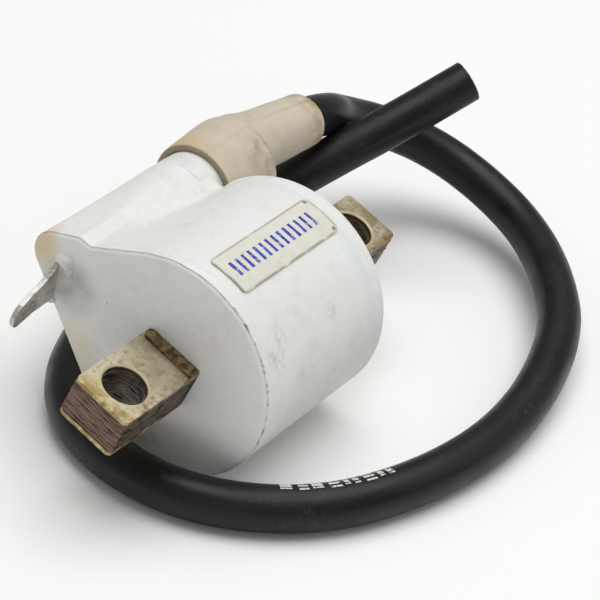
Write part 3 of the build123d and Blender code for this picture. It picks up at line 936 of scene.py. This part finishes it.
def stacking_tree(material):
    """Geometry Nodes that stack a sheet: one instance a level, each a hair out of line."""
    tree = bpy.data.node_groups.new("sheet_stack", "GeometryNodeTree")
    tree.interface.new_socket("Sheet", in_out="INPUT", socket_type="NodeSocketGeometry")
    for name, kind in (
        ("Count", "NodeSocketInt"), ("Pitch", "NodeSocketVector"), ("Stagger", "NodeSocketVector"),
        ("Seed", "NodeSocketInt"),
    ):
        tree.interface.new_socket(name, in_out="INPUT", socket_type=kind)
    tree.interface.new_socket("Stack", in_out="OUTPUT", socket_type="NodeSocketGeometry")
    given = add(tree, "NodeGroupInput").outputs
    levels = add(
        tree, "GeometryNodeMeshLine", {"Count": given["Count"], "Offset": given["Pitch"]}, mode="OFFSET"
    )
    back = add(tree, "ShaderNodeVectorMath", {0: given["Stagger"], 1: (-1, -1, -1)}, operation="MULTIPLY")
    jog = add(
        tree,
        "FunctionNodeRandomValue",
        {0: back.outputs[0], 1: given["Stagger"], "Seed": given["Seed"]},
        data_type="FLOAT_VECTOR",
    )
    moved = add(tree, "GeometryNodeSetPosition", {"Geometry": levels.outputs[0], "Offset": jog.outputs[0]})
    placed = add(
        tree, "GeometryNodeInstanceOnPoints", {"Points": moved.outputs[0], "Instance": given["Sheet"]}
    )
    real = add(tree, "GeometryNodeRealizeInstances", {"Geometry": placed.outputs[0]})
    dressed = add(tree, "GeometryNodeSetMaterial", {"Geometry": real.outputs[0], "Material": material})
    add(tree, "NodeGroupOutput", {"Stack": dressed.outputs[0]})
    return tree


def apply_tree(piece, tree, values):
    """Runs a Geometry Nodes tree on a piece once, and leaves plain mesh."""
    modifier = piece.modifiers.new("nodes", "NODES")
    modifier.node_group = tree
    for item in tree.interface.items_tree:
        if item.in_out == "INPUT" and item.name in values:
            modifier[item.identifier] = values[item.name]
    bpy.context.view_layer.update()
    mesh = bpy.data.meshes.new_from_object(piece.evaluated_get(bpy.context.evaluated_depsgraph_get()))
    piece.modifiers.remove(modifier)
    piece.data = mesh


class COIL_OT_core(bpy.types.Operator):
    """Stacks the core's sheets between their plated cover plates"""

    bl_idname = "coil.core"
    bl_label = "Laminated core"

    def execute(self, context):
        sizes = context.scene.coil_sizes
        steel = lamination_steel()
        pitch = sizes.sheet_pitch / MM
        low = -sizes.sheet_count * pitch / 2 + sizes.sheet_gap / MM / 2
        mesh = mesh_from(
            "core_sheets", one_sheet(68.5, 9.55, pitch - sizes.sheet_gap / MM, low), smooth=False
        )
        sheets = link_mesh("core_sheets", mesh, steel)
        stagger = sizes.sheet_stagger
        values = {
            "Count": sizes.sheet_count, "Pitch": coil_point(0, 0, pitch),
            "Stagger": Vector((stagger, stagger, 0)), "Seed": 3,
        }
        apply_tree(sheets, stacking_tree(steel), values)
        settle(sheets, "lamination_steel", "core_laminations")
        finish_node(
            plated_steel("yellow_zinc_top_plate", context.scene.coil_colours.plating[:], 0.55),
            "core_top_plate",
        )
        finish_node(plated_steel("yellow_zinc_bottom_plate", linear("#CDBF92"), 0.3), "core_bottom_plate")
        return {"FINISHED"}


# ---- case ----------------------------------------------------------------------------------------------
NOSE = (22.76, 1.05)
NOSE_RADIUS = 3.9
FLAT_ANGLE = -52.8
TOP_ANGLE = 55.1
TOP_END = (20.4, 7.4)
VALLEY = (18.95, 7.0)
TOWER_RADIUS = 6.2
CASE_REAR = 40.8
REAR_ROUND = 1.6
DRUM_REAR = 42.9
DRUM_ROUND = 1.4
BOOT_POCKET = 7.9  # the drum's end is cut back to this round the tower
SPOKES = 480  # points round the case
HUB = Vector((6.0, 0.0))  # seen from here the whole outline is in sight


def front_outline():
    """The cover's outline in the coil's own Y and Z: a circle with the boss's flat, nose, top and valley."""

    def spoke(centre, radius, degrees):
        turn = math.radians(degrees)
        return Vector((centre[0] + radius * math.cos(turn), centre[1] + radius * math.sin(turn)))

    steps = 24
    nose = [
        spoke(NOSE, NOSE_RADIUS, FLAT_ANGLE + (TOP_ANGLE - FLAT_ANGLE) * i / steps)
        for i in range(steps + 1)
    ]
    flat = math.radians(FLAT_ANGLE)
    distance = nose[0].x * math.cos(flat) + nose[0].y * math.sin(flat)
    start = FLAT_ANGLE - math.degrees(math.acos(distance / CASE_RADIUS)) + 360
    valley = Vector(VALLEY)
    lift = math.degrees(math.atan2(valley.y, valley.x) + math.acos(CASE_RADIUS / valley.length))
    arc = [spoke((0, 0), CASE_RADIUS, lift + (start - lift) * i / 160) for i in range(161)]
    return [*nose, Vector(TOP_END), valley, *arc]


def reach_of(outline, way):
    """How far an outline is from the hub along way."""
    best = 0.0
    for one, two in zip(outline, outline[1:] + outline[:1]):
        edge, gap = two - one, one - HUB
        turn = way.x * edge.y - way.y * edge.x
        if abs(turn) < 1e-9:
            continue
        far = (gap.x * edge.y - gap.y * edge.x) / turn
        share = (gap.x * way.y - gap.y * way.x) / turn
        if far > 0 and -1e-6 <= share <= 1 + 1e-6:
            best = max(best, far)
    return best


def smoothed(values, spread):
    """Values round a loop, each the mean of its neighbours."""
    count = len(values)
    return [
        sum(values[(i + j) % count] for j in range(-spread, spread + 1)) / (2 * spread + 1)
        for i in range(count)
    ]


def case_reaches():
    """The case's reach from the hub in every direction, at the cover and at the round rear."""
    ways = [
        Vector((math.cos(2 * math.pi * i / SPOKES), math.sin(2 * math.pi * i / SPOKES)))
        for i in range(SPOKES)
    ]
    outline = front_outline()
    front = [reach_of(outline, way) for way in ways]
    turns = [2 * math.pi * i / 96 for i in range(96)]
    body = [Vector((CASE_RADIUS * math.cos(t), CASE_RADIUS * math.sin(t))) for t in turns]
    boss = [
        Vector(
            (TOWER[0] + (TOWER_RADIUS + 0.1) * math.cos(t), TOWER[1] + (TOWER_RADIUS + 0.1) * math.sin(t))
        )
        for t in turns
    ]
    rear = []
    for way, ahead in zip(ways, front):
        upper = max(0.0, min(1.0, (way.y + 0.1) / 0.25))
        rear.append(ahead + (max(reach_of(body, way), reach_of(boss, way)) - ahead) * upper)
    return ways, smoothed(smoothed(front, 2), 1), smoothed(smoothed(rear, 5), 4)


def case_ring(x, shapes, share, inset=0.0):
    """Points round the case at X, a share of the way to the rear's outline, drawn in by inset."""
    ways, front, rear = shapes
    ring = [HUB + way * (ahead + (behind - ahead) * share) for way, ahead, behind in zip(ways, front, rear)]
    points = []
    for number, spot in enumerate(ring):
        run = (ring[(number + 1) % SPOKES] - ring[number - 1]).normalized()
        drawn = spot - Vector((run.y, -run.x)) * inset
        points.append(Vector((x, drawn.x, drawn.y)))
    return points


def cover_outline():
    """The cover's outer edge behind its bevel, as points in order round it."""
    return [point * MM for point in case_ring(CASE_FRONT + FRONT_BEVEL, case_reaches(), 0.0)]


def close_round_core(shape, ring, holes):
    """Fills an end of the case between its outline and the holes through it."""
    edges = [shape.edges.get((ring[i], ring[(i + 1) % len(ring)])) for i in range(len(ring))]
    loops = []
    for hole in holes:
        verts = [shape.verts.new(point) for point in hole]
        loops.append(verts)
        edges += [shape.edges.new((verts[i], verts[(i + 1) % len(verts)])) for i in range(len(verts))]
    bmesh.ops.triangle_fill(shape, use_beauty=True, edges=edges)
    return loops


def core_hole(x):
    """The core's passage through the case at X."""
    return [coil_point(x, y, z) for y, z in ((-4.9, -3.65), (4.9, -3.65), (4.9, 3.65), (-4.9, 3.65))]


def case_part(stations):
    """A moulding through its stations: each has X, a share of the rear's outline and an inset."""

    def build(shape):
        shapes = case_reaches()
        rings = [
            [ROLLED @ point * MM for point in case_ring(x, shapes, share, inset)]
            for x, share, inset in stations
        ]
        loops = join_rings(shape, rings)
        first = close_round_core(shape, loops[0], [core_hole(stations[0][0])])[0]
        last = close_round_core(shape, loops[-1], [core_hole(stations[-1][0])])[0]
        for i in range(4):
            j = (i + 1) % 4
            shape.faces.new((first[i], first[j], last[j], last[i]))

    return build


def cover_stations():
    """The cover: a bevelled front edge, then straight to the shell."""
    soft = [(CASE_FRONT, 0.0, FRONT_BEVEL + 0.05), (CASE_FRONT + 0.04, 0.0, FRONT_BEVEL - 0.06)]
    return [
        *soft,
        (CASE_FRONT + FRONT_BEVEL - 0.05, 0.0, 0.06),
        (CASE_FRONT + FRONT_BEVEL + 0.06, 0.0, 0.0),
        (COVER_BACK, 0.0, 0.0),
    ]


def shell_stations():
    """The shell: its boss grows round towards the rear, and its rear edge is rounded."""
    made = []
    for number in range(25):
        x = COVER_BACK + (CASE_REAR - REAR_ROUND - COVER_BACK) * number / 24
        share = max(0.0, min(1.0, (x - 15.0) / 21.0))
        made.append((x, share * share * (3 - 2 * share), 0.0))
    for number in range(1, 9):
        turn = math.radians(90 * number / 8)
        made.append((CASE_REAR - REAR_ROUND * (1 - math.sin(turn)), 1.0, REAR_ROUND * (1 - math.cos(turn))))
    return made


def drum_end(shape):
    """The drum's rounded end, behind the boss, with its pocket for the boot's mouth."""
    centre = Vector(TOWER)
    profile = [(38.0, 0.06), (CASE_REAR, 0.0)]
    profile += [
        (DRUM_REAR - DRUM_ROUND * (1 - math.sin(t)), DRUM_ROUND * (1 - math.cos(t)))
        for t in [math.radians(90 * i / 8) for i in range(9)]
    ]
    rings = []
    for x, inset in profile:
        ring = []
        for number in range(SPOKES):
            turn = 2 * math.pi * number / SPOKES
            way = Vector((math.cos(turn), math.sin(turn)))
            reach = CASE_RADIUS - inset
            ahead = centre.dot(way)
            gap = BOOT_POCKET**2 - (centre.length_squared - ahead**2)
            if gap > 0 and ahead > 0:
                reach = min(reach, ahead - math.sqrt(gap))
            ring.append(coil_point(x, way.x * reach, way.y * reach))
        rings.append(ring)
    loops = join_rings(shape, rings)
    first = close_round_core(shape, loops[0], [core_hole(profile[0][0])])[0]
    last = close_round_core(shape, loops[-1], [core_hole(DRUM_REAR)])[0]
    for i in range(4):
        j = (i + 1) % 4
        shape.faces.new((first[i], first[j], last[j], last[i]))


def tower_shape(shape):
    """The tower behind the boss that the boot grips, its end edge broken."""
    tower = ROLLED @ Vector((0, *TOWER))
    profile = [
        (37.0, TOWER_RADIUS), (44.6, TOWER_RADIUS), (44.9, TOWER_RADIUS - 0.12),
        (45.0, TOWER_RADIUS - 0.4), (45.0, 3.65), (37.0, 3.65),
    ]
    rings = [
        [
            Vector((x, tower.y + r * math.cos(a), tower.z + r * math.sin(a))) * MM
            for a in [2 * math.pi * i / 96 for i in range(96)]
        ]
        for x, r in profile
    ]
    join_rings(shape, rings, closed=True)


def resampled(points, step):
    """Evenly spaced points round a closed line."""
    out = []
    for one, two in zip(points, points[1:] + points[:1]):
        count = max(1, round((two - one).length / step))
        out += [one.lerp(two, i / count) for i in range(count)]
    return out


def flash_ridge(height):
    """A thin ragged ridge of flash round the cover's edge, left by the mould's parting line."""

    def build(shape):
        outline = resampled(cover_outline(), 0.35 * MM)
        count = len(outline)
        rings = []
        for number, point in enumerate(outline):
            before, after = outline[number - 1], outline[(number + 1) % count]
            run = (after - before).normalized()
            out = Vector((0, run.z, -run.y))
            if out.dot(point - Vector((point.x, 0.006, 0.001))) < 0:
                out = -out
            swell = 0.45 + 0.55 * noise.noise(point * 700) + 0.5 * noise.noise(point * 2600)
            tall = height * max(0.06, swell)
            half = 0.09 * MM * (1 + 0.6 * noise.noise(point * 1500))
            base = -0.05 * MM
            section = [(-half * 1.4, base), (-half * 0.5, tall * 0.8), (half * 0.2, tall), (half * 1.3, base)]
            lean = 0.07 * MM * noise.noise(point * 500)
            rings.append(
                [ROLLED @ (point + Vector((along_x + lean, 0, 0)) + out * up) for along_x, up in section]
            )
        join_rings(shape, rings, closed=True)

    return build


def lump(centre, size, seed):
    """An uneven lump of moulded nylon."""

    def build(shape):
        bmesh.ops.create_icosphere(shape, subdivisions=4, radius=1.0)
        for vertex in shape.verts:
            way = vertex.co.copy()
            swell = 1 + 0.3 * noise.noise(way * 1.7 + Vector((seed, 0, 0))) + 0.08 * noise.noise(way * 6)
            local = Vector(centre) + Vector((way.x * size[0], way.y * size[1], way.z * size[2])) * swell
            vertex.co = coil_point(*local)

    return build


def several(*makers):
    """One maker from some."""

    def build(shape):
        for maker in makers:
            part = bmesh.new()
            maker(part)
            mesh = bpy.data.meshes.new("part")
            part.to_mesh(mesh)
            part.free()
            shape.from_mesh(mesh)
            bpy.data.meshes.remove(mesh)

    return build


class COIL_OT_case(bpy.types.Operator):
    """Finishes the case and cover, with the flash round the cover and the lumps at the blade's root"""

    bl_idname = "coil.case"
    bl_label = "Case and cover"

    def execute(self, context):
        nylon = moulded_nylon(context.scene.coil_colours.case[:])
        sharp = math.radians(35)
        shell = link_mesh(
            "case_moulding",
            mesh_from("case_moulding", several(case_part(shell_stations()), drum_end, tower_shape)),
            nylon,
        )
        cover = link_mesh("cover_moulding", mesh_from("cover_moulding", case_part(cover_stations())), nylon)
        for piece in (shell, cover):
            piece.data.set_sharp_from_angle(angle=sharp)
        settle(shell, "case_nylon", "case_shell")
        settle(cover, "case_nylon", "front_cover")
        ridge = link_mesh(
            "cover_flash",
            mesh_from("cover_flash", flash_ridge(context.scene.coil_sizes.flash_height)),
            nylon,
        )
        settle(ridge, "case_nylon")
        y, z = BLADE_ROOT
        lumps = several(
            lump((CASE_FRONT - 0.05, y - 0.2, z + 4.3), (0.8, 1.5, 1.1), 1.0),
            lump((CASE_FRONT - 0.05, y - 1.3, z + 3.1), (0.6, 0.8, 0.9), 3.0),
            lump((CASE_FRONT - 0.05, y - 0.5, z - 3.3), (0.7, 1.2, 0.55), 5.0),
            lump((CASE_FRONT - 0.02, y + 1.1, z + 1.0), (0.35, 0.6, 1.6), 8.0),
        )
        root = link_mesh("blade_root_lumps", mesh_from("blade_root_lumps", lumps), nylon)
        settle(root, "case_nylon")
        return {"FINISHED"}


# ---- marking panel -------------------------------------------------------------------------------------
# A plain row of equal bars stands where the panel is printed.
MARK_COUNT = 14
MARK_START = 17.0  # the first bar's place along X
MARK_PITCH = 1.45
MARK_WIDTH = 0.6
INK_LIFT = 0.012  # how far the ink stands off the panel
MARK_ROW = (-1.1, 1.5)  # low and high edge of the row, along Y


def panel_marks():
    """A row of equal bars that follows the panel's curve, in place of printing."""

    def build(shape):
        radius = PANEL_RADIUS + INK_LIFT
        low, high = MARK_ROW
        for number in range(MARK_COUNT):
            start = MARK_START + MARK_PITCH * number
            corners = []
            for x in (start, start + MARK_WIDTH):
                row = []
                for y in (low, (low + high) / 2, high):
                    wander = 0.12 * noise.noise(Vector((x, y, 0)) * 1.7)
                    row.append(shape.verts.new(coil_point(x + wander, y, math.sqrt(radius**2 - y**2))))
                corners.append(row)
            for j in range(2):
                shape.faces.new((corners[0][j], corners[1][j], corners[1][j + 1], corners[0][j + 1]))

    return build


class COIL_OT_panel(bpy.types.Operator):
    """Finishes the marking panel and prints its worn bars"""

    bl_idname = "coil.panel"
    bl_label = "Marking panel"

    def execute(self, context):
        finish_node(printed_panel(linear("#E2E0D5")), "marking_panel")
        marks = link_mesh(
            "panel_marks",
            mesh_from("panel_marks", panel_marks()),
            panel_ink(context.scene.coil_colours.ink[:]),
        )
        settle(marks, "panel_nylon")
        return {"FINISHED"}


# ---- terminals -----------------------------------------------------------------------------------------
BLADE_HALF = 0.4  # half the strip's thickness
BLADE = [
    (15.6, 0.0), (12.6, 0.0), (12.6, -3.15), (11.4, -3.15), (6.7, -3.5), (4.4, -4.1), (3.3, -4.4),
    (2.75, -4.25), (2.45, -3.85), (2.4, -3.3), (2.55, -2.6), (2.9, -2.0), (3.35, -1.45), (3.9, -1.0),
    (5.8, -0.1), (7.9, 0.8), (9.9, 1.9), (11.4, 3.15), (15.6, 3.15),
]


def blade_shape():
    """The blade terminal: a stamped strip with broken edges, turned a little about X as a whole."""
    turn = Matrix.Rotation(BLADE_TURN, 4, "X")

    def build(shape):
        verts = []
        for x, z in BLADE:
            local = turn @ Vector((x, -BLADE_HALF, z))
            verts.append(shape.verts.new(Vector((local.x, local.y, local.z))))
        face = shape.faces.new(verts)
        raised = bmesh.ops.extrude_face_region(shape, geom=[face])
        across = turn @ Vector((0, 0.8, 0))
        bmesh.ops.translate(
            shape, vec=across, verts=[v for v in raised["geom"] if isinstance(v, bmesh.types.BMVert)]
        )
        bmesh.ops.bevel(shape, geom=list(shape.edges), offset=0.09, segments=2, profile=0.6, affect="EDGES")
        for vertex in shape.verts:
            vertex.co = coil_point(vertex.co.x, vertex.co.y + BLADE_ROOT[0], vertex.co.z + BLADE_ROOT[1])

    return build


class COIL_OT_terminals(bpy.types.Operator):
    """Makes the blade terminal and finishes the earth strip"""

    bl_idname = "coil.terminals"
    bl_label = "Terminals"

    def execute(self, context):
        blade = link_mesh(
            "blade_terminal", mesh_from("blade_terminal", blade_shape(), smooth=False), tinned_brass()
        )
        settle(blade, "tinned_brass", "primary_terminal")
        finish_node(
            oxidised_copper("oxidised_copper_strip", linear("#94805F"), linear("#5E4C34"), 0.5),
            "earth_strip",
        )
        return {"FINISHED"}


# ---- sealed parts --------------------------------------------------------------------------------------
class COIL_OT_inside(bpy.types.Operator):
    """Finishes the windings, bobbin, insulation, contacts and resin that the case seals in"""

    bl_idname = "coil.inside"
    bl_label = "Sealed parts"

    def execute(self, context):
        # Enamelled copper, layer wound: warm red-brown gloss.
        enamel = oxidised_copper("enamelled_copper_layers", linear("#A85A35"), linear("#7D3F22"), 0.4)
        finish_node(enamel, "primary_winding", "secondary_winding")
        finish_node(
            oxidised_copper("bare_copper_wire", linear("#B87350"), linear("#8A5236"), 0.4),
            "primary_hot_wire",
            "earth_wire",
            "ht_link_wire",
            "lead_root_conductor",
        )
        # Turned brass, a yellow metal with a low sheen.
        finish_node(plain_finish("turned_brass", "#B99A55", "#A5864A", 0.4, 0.35, Metallic=0.9), "ht_contact")
        # Pressboard and electrical paper: matt buff fibre.
        finish_node(
            plain_finish("buff_pressboard", "#C9AE7E", "#B89B69", 0.5, 0.75),
            "core_sleeve",
            "primary_end_cards",
            "interwinding_insulation",
        )
        # Glass-filled PBT, moulded: black and slightly glossy.
        finish_node(plain_finish("moulded_black_pbt", "#26272A", "#1D1E20", 0.5, 0.45), "secondary_bobbin")
        # Polyester tape: thin amber film.
        finish_node(plain_finish("amber_polyester_tape", "#B98A3C", "#A67A32", 0.7, 0.3), "outer_wrap")
        # Poured epoxy: dark brown and glossy.
        finish_node(plain_finish("poured_brown_epoxy", "#3B2A22", "#2E211B", 1.2, 0.3), "potting_resin")
        return {"FINISHED"}


class COIL_PT_build(bpy.types.Panel):
    """Lists the coil's steps, sizes and colours"""

    bl_label = "Ignition coil"
    bl_idname = "COIL_PT_build"
    bl_space_type = "VIEW_3D"
    bl_region_type = "UI"
    bl_category = "Coil"

    def draw(self, context):
        for step in STEPS:
            self.layout.operator(step.bl_idname)
        for group in (context.scene.coil_sizes, context.scene.coil_colours):
            for name in group.__annotations__:
                self.layout.prop(group, name)


STEPS = (
    COIL_OT_stage,
    COIL_OT_lead,
    COIL_OT_boot,
    COIL_OT_core,
    COIL_OT_case,
    COIL_OT_panel,
    COIL_OT_terminals,
    COIL_OT_inside,
)
CLASSES = (CoilSizes, CoilColours, *STEPS, COIL_PT_build)


def register():
    for item in CLASSES:
        bpy.utils.register_class(item)
    bpy.types.Scene.coil_sizes = bpy.props.PointerProperty(type=CoilSizes)
    bpy.types.Scene.coil_colours = bpy.props.PointerProperty(type=CoilColours)


def unregister():
    del bpy.types.Scene.coil_colours
    del bpy.types.Scene.coil_sizes
    for item in reversed(CLASSES):
        bpy.utils.unregister_class(item)


def main():
    register()
    for step in STEPS:
        group, name = step.bl_idname.split(".")
        getattr(getattr(bpy.ops, group), name)()


if __name__ == "__main__":
    main()
